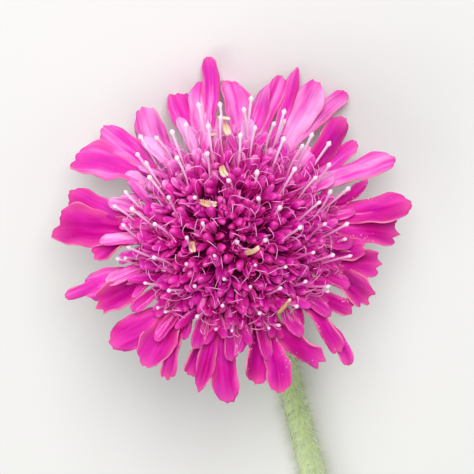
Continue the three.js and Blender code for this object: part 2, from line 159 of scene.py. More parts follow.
# How the flower lies on the table
LEAN = math.radians(40)
TURN = math.radians(12)
HEAD_PLACE = Vector((-0.3194, 49.7736, 11.6))
STALK_RADIUS = 1.45
STALK_FLAT = 0.12
NECK_REACH = 20
NECK_SHARE = 0.2  # of the rings along the stalk
NECK_BEARING = math.radians(12.5)
STALK_BEARING = math.radians(7.5)
STALK_REACH = 117
STALK_SWING = 12
CUT_SLANT = math.radians(35)

HEAD_TURN = Matrix.Rotation(-TURN, 3, "Z") @ Matrix.Rotation(-LEAN, 3, "X")
TURN_ROWS = np.array(HEAD_TURN)
PLACE_ROW = np.array(HEAD_PLACE)
UP = np.array((0.0, 0.0, 1.0))


# Numbers and vectors

def vary(floret, quality):
    """A repeatable draw from -1 to 1 for one floret and one of its qualities."""
    modulus = 2147483647
    state = (SEED + 7919 * floret + 104729 * quality) % modulus
    for _ in range(3):
        state = state * 16807 % modulus
    return 2 * state / modulus - 1


def smoothstep(low, high, x):
    t = np.clip((x - low) / (high - low), 0, 1)
    return t * t * (3 - 2 * t)


def unit(vectors):
    return vectors / np.linalg.norm(vectors, axis=-1, keepdims=True)


def compass(azimuth):
    """The ways outwards and onwards round the head at an azimuth."""
    cosine, sine = math.cos(azimuth), math.sin(azimuth)
    return np.array((cosine, sine, 0)), np.array((-sine, cosine, 0))


def on_table(points, clearance):
    """Head millimetres to table millimetres, with nothing lower than the clearance."""
    placed = points @ TURN_ROWS.T + PLACE_ROW
    placed[:, 2] = np.maximum(placed[:, 2], clearance)
    return placed


def bezier(points, t):
    """Points and directions along a quadratic or cubic line through the given control points."""
    t = np.asarray(t, float)[:, None]
    degree = len(points) - 1
    controls = [np.asarray(p, float) for p in points]
    edges = [b - a for a, b in zip(controls, controls[1:])]

    def blend(items):
        n = len(items) - 1
        return sum(math.comb(n, i) * (1 - t) ** (n - i) * t ** i * item for i, item in enumerate(items))

    return blend(controls), unit(degree * blend(edges))


# Blanks: each shape that repeats is modelled once, flat or upright, and every copy is set in its place

def start_blank(primitive, **settings):
    """A new primitive in edit mode, with all of it selected and nothing else."""
    bpy.ops.object.select_all(action="DESELECT")
    primitive(**settings)
    bpy.ops.object.mode_set(mode="EDIT")
    bpy.ops.mesh.select_all(action="SELECT")


def finish_blank():
    bpy.ops.mesh.select_all(action="SELECT")
    bpy.ops.mesh.normals_make_consistent(inside=False)
    bpy.ops.object.mode_set(mode="OBJECT")
    blank = bpy.context.active_object
    blank.name = "blank"
    return blank


def petal_blank(across, lengthwise):
    """A flat strip, from -1 to 1 across in x and from 0 to 1 along in y."""
    start_blank(
        bpy.ops.mesh.primitive_grid_add, x_subdivisions=across, y_subdivisions=lengthwise, size=2,
    )
    bpy.ops.transform.resize(value=(1, 0.5, 1), center_override=(0, -1, 0))
    bpy.ops.transform.translate(value=(0, 1, 0))
    return finish_blank()


def rod_blank(sides, stations):
    """An upright rod of radius 1 and height 1, with rings at even heights."""
    start_blank(bpy.ops.mesh.primitive_circle_add, vertices=sides, radius=1, fill_type="NGON")
    for _ in range(stations):
        bpy.ops.mesh.extrude_region_move(TRANSFORM_OT_translate={"value": (0, 0, 1 / stations)})
    return finish_blank()


def sleeve_blank(sides, rows):
    """An open upright sleeve of radius 1 and height 1."""
    start_blank(bpy.ops.mesh.primitive_circle_add, vertices=sides, radius=1, fill_type="NOTHING")
    for _ in range(rows):
        bpy.ops.mesh.extrude_edges_move(TRANSFORM_OT_translate={"value": (0, 0, 1 / rows)})
    return finish_blank()


def ball_blank(segments, rings):
    start_blank(bpy.ops.mesh.primitive_uv_sphere_add, segments=segments, ring_count=rings, radius=1)
    return finish_blank()


def set_out(name, blank, places, materials):
    """One piece of many copies of the blank. Each place has a shape, which moves the blank's points
    and gives their pattern coordinates across and along, and a tint of its own."""
    mesh = blank.data
    count = len(mesh.vertices)
    flat = np.empty(count * 3)
    mesh.vertices.foreach_get("co", flat)
    flat = flat.reshape(-1, 3)
    faces = [tuple(p.vertices) for p in mesh.polygons]
    points, patterns, tints, polygons = [], [], [], []
    for number, (shape, tint) in enumerate(places):
        moved, across, along = shape(flat)
        points.append(moved)
        patterns.append(np.stack((across, along), 1))
        tints.append(np.full(count, tint))
        polygons.extend(tuple(v + number * count for v in face) for face in faces)
    points = np.concatenate(points) * MM
    made = bpy.data.meshes.new(name)
    made.from_pydata(points.tolist(), [], polygons)
    loops = np.empty(len(made.loops), int)
    made.loops.foreach_get("vertex_index", loops)
    pattern = made.uv_layers.new(name="pattern")
    pattern.data.foreach_set("uv", np.concatenate(patterns)[loops].astype(np.float32).ravel())
    tint = made.attributes.new("tint", "FLOAT", "POINT")
    tint.data.foreach_set("value", np.concatenate(tints).astype(np.float32))
    made.polygons.foreach_set("use_smooth", [True] * len(made.polygons))
    for material in materials:
        made.materials.append(material)
    made.update()
    piece = bpy.data.objects.new(name, made)
    bpy.context.collection.objects.link(piece)
    return piece


def belongs(piece, slot, node=None):
    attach(piece, "root")
    if node:
        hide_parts(node)


def copies(name, blank, places, material, slot, node=None):
    """A piece of solid copies with one finish."""
    belongs(set_out(name, blank, places, [material]), slot, node)


def sheets(name, blank, places, materials, thickness, slot, node):
    """Petals, tubes or bracts, given their thickness, half of it to each side. The materials are
    those of the upper face, the under face and the rim, as far as they differ."""
    piece = set_out(name, blank, places, materials)
    bpy.ops.object.select_all(action="DESELECT")
    piece.select_set(True)
    bpy.context.view_layer.objects.active = piece
    modifier = piece.modifiers.new("thickness", "SOLIDIFY")
    modifier.thickness = thickness * MM
    modifier.offset = 0
    modifier.material_offset = min(len(materials) - 1, 1)
    modifier.material_offset_rim = len(materials) - 1
    bpy.ops.object.modifier_apply(modifier=modifier.name)
    belongs(piece, slot, node)


# Finishes

def finish(name, roughness, specular=0.5, flesh=()):
    """A material, its nodes and its shader. flesh says how much of the light goes into the piece,
    how far its red, green and blue go, and the scale of that in metres."""
    material = bpy.data.materials.new(name)
    material.use_nodes = True
    shader = material.node_tree.nodes["Principled BSDF"]
    sockets = {"Roughness": roughness, "Specular IOR Level": specular}
    sockets.update(zip(("Subsurface Weight", "Subsurface Radius", "Subsurface Scale"), flesh))
    for socket, value in sockets.items():
        shader.inputs[socket].default_value = value
    return material, material.node_tree, shader


def node(tree, kind, **settings):
    made = tree.nodes.new(kind)
    for key, value in settings.items():
        setattr(made, key, value)
    return made


def feed(socket, value):
    """Gives a socket another socket to read, a colour or a number."""
    if hasattr(value, "links"):
        socket.id_data.links.new(value, socket)
    elif isinstance(value, tuple):
        socket.default_value = (*value, 1)
    else:
        socket.default_value = value


def ramp(factor, stops):
    """A colour ramp through (place, colour) stops."""
    made = node(factor.id_data, "ShaderNodeValToRGB")
    elements = made.color_ramp.elements
    while len(elements) < len(stops):
        elements.new(0.5)
    for element, (place, colour) in zip(elements, stops):
        element.position = place
        element.color = (*colour, 1)
    feed(made.inputs["Fac"], factor)
    return made.outputs["Color"]


def mix(factor, a, b):
    made = node(factor.id_data, "ShaderNodeMix", data_type="RGBA")
    for socket, value in ((made.inputs["Factor"], factor), (made.inputs[6], a), (made.inputs[7], b)):
        feed(socket, value)
    return made.outputs[2]


def maths(operation, *values):
    tree = next(value.id_data for value in values if hasattr(value, "links"))
    made = node(tree, "ShaderNodeMath", operation=operation)
    for socket, value in zip(made.inputs, values):
        feed(socket, value)
    return made.outputs[0]


def plus(a, b):
    return maths("ADD", a, b)


def less(a, b):
    return maths("SUBTRACT", a, b)


def times(a, b):
    return maths("MULTIPLY", a, b)


def bump(shader, height, strength, distance):
    made = node(shader.id_data, "ShaderNodeBump")
    made.inputs["Strength"].default_value = strength
    made.inputs["Distance"].default_value = distance
    feed(made.inputs["Height"], height)
    feed(shader.inputs["Normal"], made.outputs["Normal"])


def noise(place, scale, detail, roughness=0.5):
    made = node(place.id_data, "ShaderNodeTexNoise")
    made.inputs["Scale"].default_value = scale
    made.inputs["Detail"].default_value = detail
    made.inputs["Roughness"].default_value = roughness
    feed(made.inputs["Vector"], place)
    return made.outputs["Fac"]


def clouds(tree, scale, detail=3.0):
    """An even noise that follows the object."""
    return noise(node(tree, "ShaderNodeTexCoord").outputs["Object"], scale, detail)


def shares_and_tint(tree):
    """The shares across and along a piece's own pattern, and the tint of each copy."""
    split = node(tree, "ShaderNodeSeparateXYZ")
    feed(split.inputs[0], node(tree, "ShaderNodeUVMap", uv_map="pattern").outputs["UV"])
    tint = node(tree, "ShaderNodeAttribute", attribute_name="tint")
    return split.outputs[0], split.outputs[1], tint.outputs["Fac"]


def streaks(shares, count, stretch, detail=3.0):
    """Lengthwise streaks, from 0 to 1, in the pattern of the given shares and tint. The tint sets
    each copy's streaks apart."""
    place = node(shares[0].id_data, "ShaderNodeCombineXYZ")
    for socket, share, scale in zip(place.inputs, shares, (count, stretch, 97.0)):
        feed(socket, times(share, scale))
    return noise(place.outputs[0], 1.0, detail, 0.6)


def plain_finish(name, low, high, scale, roughness, **more):
    """Tissue with a soft mottle between two colours."""
    material, tree, shader = finish(name, roughness, **more)
    mottle = clouds(tree, scale, 4.0)
    feed(shader.inputs["Base Color"], ramp(mottle, [(0.3, low), (0.7, high)]))
    bump(shader, mottle, 0.3, 0.0001)
    return material


# SALMON is the painted backlight on the petals' margins and rims.
SALMON = (0.92, 0.16, 0.40)
VIOLET = (0.50, 0.01, 0.42)
DEEP = (0.29, 0.001, 0.12)
MIDDLE = (0.60, 0.002, 0.28)
LIGHT = (0.83, 0.045, 0.50)
PALE = (0.96, 0.44, 0.82)
RED_FLESH = (0.1, (0.5, 0.1, 0.3), 0.0005)
PINK_FLESH = (0.2, (0.5, 0.3, 0.4), 0.0004)
GREEN_FLESH = (0.1, (0.3, 0.4, 0.1), 0.0006)
STALK_FLESH = (0.15, (0.4, 0.5, 0.15), 0.0008)


def petal_finish(
    name, count, shift, depth, mottle=1.0, roughness=0.42, specular=0.06, border=0.8, rise=0.1,
):
    """Satin petal tissue. The tint of each petal says how pale it is, painted light included, and broad
    patches and fine veins run along it: count says how many veins side by side, and depth how deep
    they are, in metres. The margin is paler by border, a painted backlight in salmon. rise makes the
    tip paler and the base deeper, painted light and painted shade along the petal, and where 0.35
    times the tint passes rise this runs the other way; shift makes the whole petal paler."""
    material, tree, shader = finish(name, roughness, specular, RED_FLESH)
    across, along, tint = shares = shares_and_tint(tree)
    streak = streaks(shares, count, 1.2)
    patch = streaks(shares, 1.7, 1.5, 2.0)
    # The tint carries each copy's painted light.
    pale = plus(times(tint, 0.62), shift)
    pale = plus(pale, times(less(streak, 0.5), 0.6))
    pale = plus(pale, times(less(patch, 0.5), mottle))
    # Painted light and shade along the petal: the tip paler and the base deeper, by rise.
    fade = less(rise, times(tint, 0.35))
    pale = plus(pale, times(less(along, 0.6), fade))
    colour = ramp(pale, [(0.0, DEEP), (0.33, MIDDLE), (0.66, LIGHT), (1.0, PALE)])
    cool = ramp(clouds(tree, 260.0), [(0.45, (0.0, 0.0, 0.0)), (0.7, (0.4, 0.4, 0.4))])
    colour = mix(cool, colour, VIOLET)
    # Painted backlight: the margin and the tip take salmon, less on paler copies.
    sides = maths("ABSOLUTE", less(times(across, 2.0), 1.0))
    rim = maths("MAXIMUM", maths("POWER", sides, 4.0), maths("POWER", along, 14.0))
    rim = times(rim, less(border, times(tint, 0.4)))
    feed(shader.inputs["Base Color"], mix(rim, colour, SALMON))
    crinkle = times(clouds(tree, 1500.0), 0.7)
    bump(shader, plus(streak, crinkle), 0.5, depth)
    return material


def shaded_rod(name, foot, middle, top, roughness, **more):
    """A thin rod whose colour changes along it, deeper where its tint is low."""
    material, tree, shader = finish(name, roughness, **more)
    _, along, tint = shares = shares_and_tint(tree)
    colour = ramp(along, [(0.0, foot), (0.55, middle), (0.9, top)])
    dulled = tuple((a + b) / 2 for a, b in zip(middle, top))
    deeper = ramp(along, [(0.0, foot), (0.8, foot), (0.93, dulled)])
    colour = mix(times(less(1.0, tint), 0.9), colour, deeper)
    colour = mix(times(streaks(shares, 3.0, 4.0), 0.2), colour, top)
    feed(shader.inputs["Base Color"], colour)
    return material


PETAL_TOP = petal_finish("petal_upper_face", 9.0, -0.13, 0.0003, mottle=1.25)
PETAL_UNDER = petal_finish("petal_under_face", 9.0, 0.13, 0.00016)
# The rims of the ray petals are painted salmon, as backlight.
PETAL_RIM = plain_finish("petal_rim", SALMON, (0.95, 0.26, 0.5), 400.0, 0.5)
DISC_TOP = petal_finish(
    "disc_petal_face", 4.0, 0.22, 0.0001, mottle=0.85, roughness=0.25, specular=0.3, border=0.5, rise=0.65,
)
STYLE = shaded_rod(
    "style_shaft", (0.76, 0.05, 0.42), (0.96, 0.54, 0.83), (0.98, 0.78, 0.91), 0.4, flesh=PINK_FLESH,
)
FILAMENT = shaded_rod("filament", (0.6, 0.01, 0.3), (0.90, 0.17, 0.57), (0.97, 0.47, 0.80), 0.4, specular=0.3)
BRISTLE = shaded_rod(
    "calyx_bristle", (0.4, 0.0, 0.14), (0.68, 0.01, 0.26), (0.88, 0.06, 0.42), 0.45, specular=0.3,
)
ANTHER = shaded_rod("anther", (0.50, 0.24, 0.08), (0.92, 0.72, 0.44), (0.95, 0.84, 0.66), 0.8)
POLLEN = plain_finish("pollen", (0.92, 0.55, 0.75), (0.96, 0.80, 0.88), 4000.0, 0.8)
# Painted shade: the core and the ring of tubes are near black, for the shade between the florets and under
# the rays.
CORE = plain_finish("packed_tubes_in_painted_shade", (0.06, 0.0, 0.025), (0.2, 0.0, 0.08), 900.0, 0.9, specular=0.05)
GREEN_CUP = plain_finish("green_cup", (0.16, 0.26, 0.06), (0.34, 0.45, 0.14), 500.0, 0.6, flesh=GREEN_FLESH)
BRACT = shaded_rod("bract", (0.30, 0.42, 0.12), (0.2, 0.33, 0.08), (0.3, 0.36, 0.12), 0.6, flesh=GREEN_FLESH)
STALK_SKIN = plain_finish("stalk_skin", (0.45, 0.61, 0.22), (0.64, 0.77, 0.40), 260.0, 0.5, flesh=STALK_FLESH)
HAIR = shaded_rod("white_hair", (0.8, 0.84, 0.68), (0.92, 0.93, 0.85), (0.97, 0.97, 0.93), 0.5)


# Where the florets stand

class Floret:
    """Where a floret opens, which way its tube points, and how it is turned. cosine is that of its
    angle from the head's axis on the dome."""

    def __init__(self, k, azimuth, cosine):
        outward, self.side = compass(azimuth)
        self.k = k
        self.spread = math.sin(math.acos(cosine))
        ring = outward * self.spread
        self.mouth = ring * DOME_RADIUS + UP * DOME_HEIGHT * cosine
        root = ring * RECEPTACLE_RADIUS + UP * (RECEPTACLE_HEIGHT * cosine - RECEPTACLE_DROP)
        self.axis = unit(self.mouth - root)
        self.out = np.cross(self.side, self.axis)

    def toward(self, out, side):
        return unit(self.axis + out * self.out + side * self.side)

    def around(self, angle):
        """The ways away from the tube and onwards round it, at an angle round its mouth."""
        cosine, sine = math.cos(angle), math.sin(angle)
        return cosine * self.out + sine * self.side, -sine * self.out + cosine * self.side

    def stand(self, points):
        """Points upright at the origin, moved to the mouth and turned to the tube."""
        return self.mouth + points[:, :1] * self.out + points[:, 1:2] * self.side + points[:, 2:] * self.axis


def azimuth_of(k):
    if k < FIRST_SKIRT:
        return k * GOLDEN_ANGLE
    if k < FIRST_RAY:
        return azimuth_of(FIRST_SKIRT - 1) + (k - FIRST_SKIRT + 1) * 8 * math.tau / SKIRT
    return azimuth_of(FIRST_RAY - 1) + (k - FIRST_RAY + 1) * 5 * math.tau / RAYS


def floret_of(k):
    shift = math.radians(RAY_LOBES[k - FIRST_RAY][0]) if k >= FIRST_RAY else 0
    return Floret(k, azimuth_of(k) + shift, 1 - (k + 0.5) / FLORETS)


ALL_FLORETS = [floret_of(k) for k in range(FLORETS)]
DISC_FLORETS = ALL_FLORETS[:FIRST_SKIRT]
SKIRT_FLORETS = ALL_FLORETS[FIRST_SKIRT:FIRST_RAY]
RAY_FLORETS = ALL_FLORETS[FIRST_RAY:]


def painted_light(place):
    """How much painted light falls on a place, more towards the head's +Y and less towards its +X: 0 to 1."""
    across, up = place[:2] / DOME_RADIUS
    return max(0.0, 0.5 + 0.5 * (0.9 * up - 0.45 * across))


def tone(floret, quality):
    """How pale a lobe of the disc is, partly at random and partly painted light: those on the lit side of the
    head are paler.
    """
    lit = painted_light(floret.mouth) ** 1.7
    return float(np.clip(0.06 + 1.05 * lit * floret.spread + 0.3 * vary(floret.k, quality), 0, 1))


# Petal lobes

def petal(line, upper, width, tip, phase, cupping, fold, ruffle, twist, curl, root, folds=2):
    """The place of one petal along a Bezier line, its upper face towards upper. It grows from a
    narrow root, and its tip is an arc that the tip's kind flattens, points or notches."""
    length = sum(np.linalg.norm(b - a) for a, b in zip(line, line[1:]))
    point, square, notch = TIPS[tip]
    slimness = width / length

    def shape(blank):
        side, share = np.sin(blank[:, 0] * math.pi / 2), blank[:, 1]
        arc = 1 - (1 - np.abs(side) ** (2 + 1.6 * square - 0.7 * point)) ** 0.5
        reach = slimness * (0.6 - 0.3 * square + 0.7 * point)
        near_tip = smoothstep(0.45, 1, share)
        along = share * (1 - 0.02) + 0.02 - reach * arc * near_tip
        tooth = notch * (0.5 + 0.5 * np.cos(side * (6.5 + 2 * phase) + 5 * phase))
        tooth += 0.025 * np.sin(side * 13 + 9 * phase)
        along = along - slimness * tooth * near_tip ** 2
        hand = np.sign(side)
        wavy = 1 + 0.07 * np.sin(11 * along + 6 * phase + 1.7 * hand)
        wavy += 0.035 * np.sin(29 * along + 11 * phase - 1.3 * hand)
        wide = width / 2 * (root + (1 - root) * smoothstep(0.05, 0.8, along)) * wavy

        middle, heading = bezier(line, along)
        flat = unit(np.cross(heading, upper))
        rise = np.cross(flat, heading)
        turn = (twist * smoothstep(0.1, 1, along))[:, None]
        across = flat * np.cos(turn) + rise * np.sin(turn)
        above = rise * np.cos(turn) - flat * np.sin(turn)

        grown = smoothstep(0, 0.35, along)
        pleat = np.cos(math.pi * folds * side + 4 * phase) * (0.8 + 0.2 * np.cos(5 * along + 3 * phase))
        lift = cupping * wide * (side * side - 0.4) * grown
        lift += fold * pleat * grown * np.minimum(wide, 1)
        lift += ruffle * wide * np.abs(side) ** 3 * np.sin(13 * along + 7 * phase + 2 * side) * grown
        lift += 0.4 * ruffle * wide * side ** 2 * np.sin(27 * along + 5 * phase - 3 * side) * grown
        lift -= curl * length * smoothstep(0.55, 1, along) ** 2
        points = middle - across * (side * wide)[:, None] + above * lift[:, None]
        return on_table(points, PETAL * 0.6), side / 2 + 0.5, along

    return shape


def lobe(floret, place, outward, sideways, facing, length, width, sunk, bow=0.0, **form):
    """One lobe of a floret, the middle one or, where place is -1 or 1, the one beside it.
    It leaves the tube along its axis and bends away."""
    tip = floret.toward(outward, sideways)
    upper = unit(-(outward + facing) * floret.out - sideways * floret.side)
    start = floret.mouth - sunk * floret.axis + place * ROOT_SPACING * floret.side
    bend = start + (sunk + length * BEND_SHARE) * floret.axis
    end = bend + length * (1 - BEND_SHARE) * tip
    line = (start, bend, (bend + end) / 2 + bow * floret.side, end) if bow else (start, bend, end)
    return petal(line, upper, width, **form)


def ray_lobes():
    """The three long lobes of each ray, with painted light that makes them paler towards the top of the head.
    """
    for floret, (_, *lobes) in zip(RAY_FLORETS, RAY_LOBES):
        k = floret.k
        for j, (outward, sideways, length, width, pale, tip) in enumerate(lobes):
            shape = lobe(
                floret, j - 1, outward, sideways,
                facing=1.2, length=RAY_LENGTH * length, width=RAY_WIDTH * width, sunk=0.8,
                tip=tip, phase=vary(k, 50 + j), cupping=0.1 + 0.5 * vary(k, 22 + j),
                folds=1 + (j + k) % 2, fold=0.2, ruffle=0.24, root=0.3,
                twist=0.45 * vary(k, 53 + j), curl=0.1 * vary(k, 56 + j),
                bow=BOWS.get((k - FIRST_RAY, j), 0.0),
            )
            # Painted light: the lobes towards the top of the head are tinted paler.
            yield shape, pale + 0.42 * max(0.0, floret.mouth[1] / DOME_RADIUS) ** 1.5


def skirt_lobes():
    """The middle lobe of each floret of the skirt, half rolled in."""
    for floret in SKIRT_FLORETS:
        k = floret.k
        shape = lobe(
            floret, 0, outward=0.55 + 0.15 * vary(k, 11), sideways=0.1 * vary(k, 14),
            facing=0.6, length=SKIRT_LENGTH * (1 + 0.14 * vary(k, 17)),
            width=SKIRT_WIDTH * (1 + 0.12 * vary(k, 20)), sunk=0.7,
            tip="round", phase=vary(k, 51), cupping=0.5 + 0.5 * vary(k, 23),
            fold=0.1, ruffle=0.15, root=0.45,
            twist=0.5 * vary(k, 54), curl=0.12 * vary(k, 57),
        )
        yield shape, 1.2 * tone(floret, 61)


def plump(root, heading, away, length, width, thick, bow):
    """The place of one short lobe, rolled in to a plump oval. away points out of the floret, and
    bow bends the tip back over it."""
    across = unit(np.cross(away, heading))
    back = np.cross(heading, across)

    def shape(blank):
        share = blank[:, 2] / 2 + 0.5
        swell = 0.72 + 0.5 * share
        groove = np.where(blank[:, 1] > 0, 1, 0.35)
        points = root + (share * length)[:, None] * heading
        points = points + (blank[:, 0] * swell * width / 2)[:, None] * across
        points += (blank[:, 1] * groove * swell * thick / 2 - bow * length * share ** 2)[:, None] * back
        return on_table(points, PETAL), blank[:, 0] / 2 + 0.5, share

    return shape


def rolled_lobes():
    """The two side lobes of each floret of the skirt, rolled in along their length."""
    for floret in SKIRT_FLORETS:
        k = floret.k
        for j, hand in ((0, -1), (2, 1)):
            outward = 0.3 + 0.2 * vary(k, 10 + j)
            sideways = 0.6 * hand + 0.15 * vary(k, 13 + j)
            away = unit((outward + 0.5) * floret.out + sideways * floret.side)
            root = floret.mouth + hand * 0.55 * floret.side - 0.6 * floret.axis
            length = SKIRT_LENGTH * 0.85 * (1 + 0.14 * vary(k, 16 + j))
            width = SKIRT_WIDTH * 0.85 * (1 + 0.12 * vary(k, 19 + j))
            shape = plump(root, floret.toward(outward, sideways), away, length, width, 0.75, -0.05)
            yield shape, tone(floret, 60 + j)


def plump_lobes():
    """The four short lobes of each small floret: closed over the middle ones, open round the others."""
    for floret in DISC_FLORETS:
        k = floret.k
        wide_open = float(smoothstep(2, FIRST_SKIRT - 8, np.float64(k)))
        for j in range(4):
            angle = math.tau * (j + 0.25 * vary(k, 100 + j)) / 4
            away, _ = floret.around(angle)
            outer = 0.5 + 0.5 * math.cos(angle)
            opening = 0.12 + wide_open * (0.33 + 0.35 * outer) + 0.18 * vary(k, 108 + j)
            heading = unit(math.cos(opening) * floret.axis + math.sin(opening) * away)
            length = (1.8 + wide_open * (0.2 + 0.8 * outer)) * (1 + 0.15 * vary(k, 104 + j))
            width = (0.85 + 0.3 * wide_open) * (1 + 0.15 * vary(k, 112 + j))
            root = floret.mouth + (0.28 + 0.17 * wide_open) * away - 0.7 * floret.axis
            thick, bow = 0.5 + 0.2 * wide_open, 0.12 - 0.1 * wide_open
            yield plump(root, heading, away, length, width, thick, bow), tone(floret, 124 + j)


def inner_lobes(florets):
    """The short inner lobe of each floret of the skirt and the rays."""
    for floret in florets:
        k = floret.k
        away = -floret.out
        opening = 0.25 + 0.2 * vary(k, 108)
        heading = unit(math.cos(opening) * floret.axis + math.sin(opening) * away)
        root = floret.mouth + 0.6 * away - 0.5 * floret.axis
        length = 2.2 * (1 + 0.15 * vary(k, 104))
        yield plump(root, heading, away, length, 1.5, 0.5, 0.08), tone(floret, 124)


def small_buds():
    """Closed buds between the open florets: plump upright ovals on a spiral of their own."""
    for i in range(SMALL_BUDS):
        azimuth = SMALL_BUD_TURN + i * GOLDEN_ANGLE
        floret = Floret(i, azimuth, 1 - SMALL_BUD_SPREAD * ((i + 0.5) / SMALL_BUDS) ** 1.25)
        spread = floret.spread
        heading = floret.axis + (0.15 + 0.4 * vary(i, 402)) * floret.out + 0.4 * vary(i, 403) * floret.side
        heading = unit(heading)
        length = 2.2 + 0.7 * spread + 0.5 * vary(i, 404)
        width = 0.8 + 0.25 * spread + 0.15 * vary(i, 405)
        root = floret.mouth - (1.9 + 0.3 * vary(i, 407)) * heading
        # Painted light: buds on the lit side of the head are paler.
        pale = 0.12 + 0.5 * painted_light(DOME_RADIUS * compass(azimuth)[0]) * spread + 0.2 * vary(i, 406)
        yield plump(root, heading, floret.out, length, width, 2 * width, 0.03), pale


def tube(floret, wide):
    """The place of one tube, wide at its four-cornered mouth and narrow at its foot."""
    def shape(blank):
        angle = np.arctan2(blank[:, 1], blank[:, 0])
        height = -TUBE_LENGTH + (TUBE_LENGTH + 0.25 + 0.15 * np.cos(4 * angle)) * blank[:, 2]
        flare = 0.35 + 0.65 * smoothstep(-TUBE_LENGTH, 0.3, height)
        ring = wide * flare * (1 + 0.06 * np.cos(4 * angle))
        points = np.stack((ring * np.cos(angle), ring * np.sin(angle), height), 1)
        return on_table(floret.stand(points), PETAL), angle * 2 / math.pi % 1, blank[:, 2] * 0.5

    return shape


def tubes(florets, radius):
    """The tubes of the florets, with radius the usual one at their mouths."""
    return [(tube(floret, radius * (1 + 0.1 * vary(floret.k, 70))), tone(floret, 128)) for floret in florets]


def grain(middle, radius):
    """The place of one grain of pollen, in table millimetres."""
    def shape(blank):
        return middle + blank * radius, blank[:, 0] / 2 + 0.5, blank[:, 2] / 2 + 0.5

    return shape


def pollen(petals):
    """Single grains on the upper faces of some ray petals, in the same order as ray_lobes."""
    draws = np.random.default_rng(SEED + 2)
    up = TURN_ROWS @ UP
    for number, (shape, _) in enumerate(petals):
        if number // 3 not in DUSTED:
            continue
        rows = draws.normal(size=(GRAINS, 3))
        middle = (0.7 * (-1) ** number, 0.6 + 0.1 * (number % 3), 0)
        spots = np.clip(middle + rows * (0.25, 0.16, 0), (-0.95, 0.4, 0), (0.95, 0.96, 0))
        here = shape(spots)[0]
        beside, ahead = shape(spots + (0.01, 0, 0))[0] - here, shape(spots + (0, 0.01, 0))[0] - here
        normals = unit(np.cross(beside, ahead))
        normals *= np.sign(normals @ up)[:, None]
        for spot, normal, size in zip(here, normals, np.abs(rows[:, 2])):
            radius = 0.03 + 0.02 * min(size, 2.0)
            yield grain(spot + normal * (PETAL / 2 + 0.6 * radius), radius), size / 2


# Thin rods: styles, filaments and hairs

def rod(controls, radius, stations, tilt=(0.3, 0.2, 0.9), clearance=0.0, table=False):
    """The place of a thin rod along a Bezier line. radius gives its radius at shares of its length,
    and table says that the line is in table millimetres already."""
    shares = np.linspace(0, 1, stations + 1)
    middle, heading = bezier(controls, shares)
    first = unit(np.cross(heading, np.asarray(tilt, float)))
    second = np.cross(heading, first)
    thick = radius(shares)

    def shape(blank):
        ring = np.rint(blank[:, 2] * stations).astype(int)
        around = blank[:, :1] * first[ring] + blank[:, 1:2] * second[ring]
        points = middle[ring] + thick[ring, None] * around
        if not table:
            points = on_table(points, clearance)
        return points, np.arctan2(blank[:, 1], blank[:, 0]) / math.tau + 0.5, blank[:, 2]

    return shape


def taper(foot, loss):
    """A radius that narrows evenly from foot, by loss in all."""
    return lambda share: foot - loss * share


def hair_taper(foot):
    """A radius that narrows almost to nothing."""
    return lambda share: foot * (1.02 - share)


def style_radius(length, size):
    """The radius along a style: a shaft that thickens upwards, and a knob a little longer than wide."""
    wide, high = KNOB * size, KNOB * (0.55 + 0.7 * size)
    top = 1 - high / length

    def radius(share):
        knob = wide * np.sqrt(np.clip(1 - ((share - top) * length / high) ** 2, 0, 1))
        shaft = (0.08 + 0.08 * share) * (0.75 + 0.25 * size)
        return np.where(share > top + 0.5 * high / length, knob, np.maximum(shaft, knob)) + 0.006

    return radius


def styles():
    """The pale, knobbed styles of all florets but the two at the very middle."""
    for floret in ALL_FLORETS[2:]:
        k = floret.k
        lit = 0.5 + 0.5 * floret.mouth[1] / DOME_RADIUS
        length = STYLE_LENGTH * (0.72 + 0.34 * floret.spread + 0.14 * vary(k, 1))
        length *= SHADED_STYLE + (1 - SHADED_STYLE) * lit
        if k < BUDS:
            length *= 0.55
        heading = floret.axis + np.array((*STYLE_SWING, STYLE_RISE))
        heading = unit(heading + 0.2 * vary(k, 2) * floret.out + 0.2 * vary(k, 3) * floret.side)
        foot = floret.mouth - 0.8 * heading
        end = floret.mouth + (length - 0.1) * heading
        bow = 0.9 * vary(k, 31) * floret.side + 0.7 * vary(k, 32) * floret.out
        line = (foot, foot + (end - foot) * 0.35 + bow, foot + (end - foot) * 0.7 + 0.5 * bow, end)
        radius = style_radius(length, 0.66 + 0.32 * lit + 0.14 * vary(k, 34))
        # Painted light: styles on the lit side of the head are tinted paler, the others deeper.
        tint = 1.4 * painted_light(floret.mouth) - 0.1 + 0.25 * vary(k, 35)
        yield rod(line, radius, STYLE_STATIONS, tilt=floret.side + 0.2), min(max(tint, 0.0), 1.0)


def filaments():
    """Thin stamens of the open florets, most of them without their anthers and curled."""
    for floret in ALL_FLORETS[:FILAMENTED]:
        k, lit = floret.k, painted_light(floret.mouth)
        rise = unit(floret.axis + np.array((0, 0.3, 0.4)))
        for j in range(4):
            q = 200 + 10 * j
            lean, curl = floret.around(math.tau * (j + 0.5 + 0.4 * vary(k, q)) / 4)
            reach = 3.0 + 1.4 * vary(k, q + 1)
            foot = floret.mouth + 0.5 * lean - 0.5 * floret.axis
            first = foot + (0.6 * reach) * rise + 0.5 * vary(k, q + 7) * lean
            second = foot + (1.1 * reach) * rise + vary(k, q + 2) * lean + 1.6 * vary(k, q + 3) * curl
            end = foot + (0.9 + 0.3 * vary(k, q + 4)) * reach * rise
            end += (0.9 + vary(k, q + 8)) * lean + 1.5 * vary(k, q + 5) * curl
            shape = rod((foot, first, second, end), taper(0.062, 0.02), FILAMENT_STATIONS)
            # Painted light: filaments on the lit side of the head are tinted paler.
            yield shape, 0.2 + 0.6 * lit + 0.4 * vary(k, q + 6)


